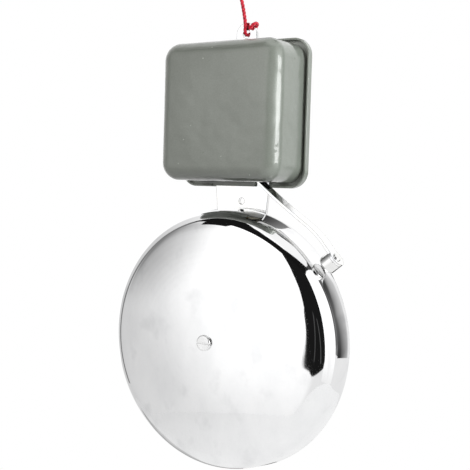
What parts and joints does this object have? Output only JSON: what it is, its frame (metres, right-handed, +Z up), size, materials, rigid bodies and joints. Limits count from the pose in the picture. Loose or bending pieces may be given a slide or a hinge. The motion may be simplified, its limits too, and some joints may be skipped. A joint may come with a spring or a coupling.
{
  "type": "electric bell",
  "caption": "Electric trembler bell: square painted case over a chromed gong on a tapering tongue, spring-hung outside hammer, lift-off cover and red hanging cord.",
  "frame": {"origin": "centre of the fixing hole in the tongue, at the chassis plate's back face", "axes": "+Z up, +Y back towards the wall, +X to the right of a viewer in front"},
  "size_m": [0.1498, 0.0406, 0.2831],
  "materials": {
    "case_paint": "semi-gloss grey-green enamel",
    "gong_chrome": "polished chrome plate",
    "bright_zinc": "bright zinc-plated sheet",
    "nickel": "nickel-plated",
    "spring_steel": "bright spring steel",
    "soft_iron": "zinc-plated soft iron",
    "brass": "machined brass",
    "silver": "silver contact",
    "copper_wire": "enamelled copper wire",
    "bobbin_black": "moulded phenolic",
    "board_brown": "phenolic paper board",
    "block_cream": "moulded urea",
    "fibre": "vulcanised fibre",
    "rubber": "black rubber",
    "lead_insulation": "grey sleeving",
    "red_cord": "twisted red cord"
  },
  "bodies": {
    "base": {"base_tray": "case_paint", "chassis_plate": "bright_zinc", "tray_rivets": "nickel", "cover_screws": "nickel", "cable_grommet": "rubber", "gong": "gong_chrome", "gong_post": "soft_iron", "gong_washer": "fibre", "gong_screw": "nickel", "magnet_yoke": "soft_iron", "coil_core_upper": "soft_iron", "coil_core_lower": "soft_iron", "bobbin_upper": "bobbin_black", "bobbin_lower": "bobbin_black", "winding_upper": "copper_wire", "winding_lower": "copper_wire", "yoke_screws": "nickel", "spring_post": "soft_iron", "post_screws": "nickel", "clamp_plate": "soft_iron", "clamp_screws": "nickel", "contact_board": "board_brown", "board_screws": "nickel", "contact_post": "brass", "contact_screw": "brass", "contact_lock_nut": "brass", "terminal_block": "block_cream", "block_screw": "nickel", "terminal_plates": "brass", "terminal_screws": "brass", "lead_terminal_to_coil": "lead_insulation", "lead_coil_to_coil": "lead_insulation", "lead_coil_to_frame": "lead_insulation", "lead_contact_to_terminal": "lead_insulation", "hanging_cord": "red_cord", "cord_knot": "red_cord"},
    "hammer": {"armature": "soft_iron", "leaf_rivets": "nickel", "arm_rivets": "nickel", "contact_rivets": "nickel", "suspension_spring": "spring_steel", "hammer_arm": "bright_zinc", "hammer_head": "nickel", "contact_spring": "spring_steel", "contact_tip": "silver"},
    "cover": {"cover": "case_paint"}
  },
  "joints": [
    {"name": "hammer_swing", "type": "hinge", "parent": "base", "child": "hammer", "pos_m": [0.0167, -0.0158, 0.075], "axis": [0, 1, 0], "range_deg": [0, 0.63], "stiffness_Nm_per_rad": 2.9, "springref_deg": -1.15, "deforming": ["suspension_spring"]},
    {"name": "cover_lift_off", "type": "slide", "parent": "base", "child": "cover", "axis": [0, -1, 0], "range_m": [0, 0.05]}
  ]
}
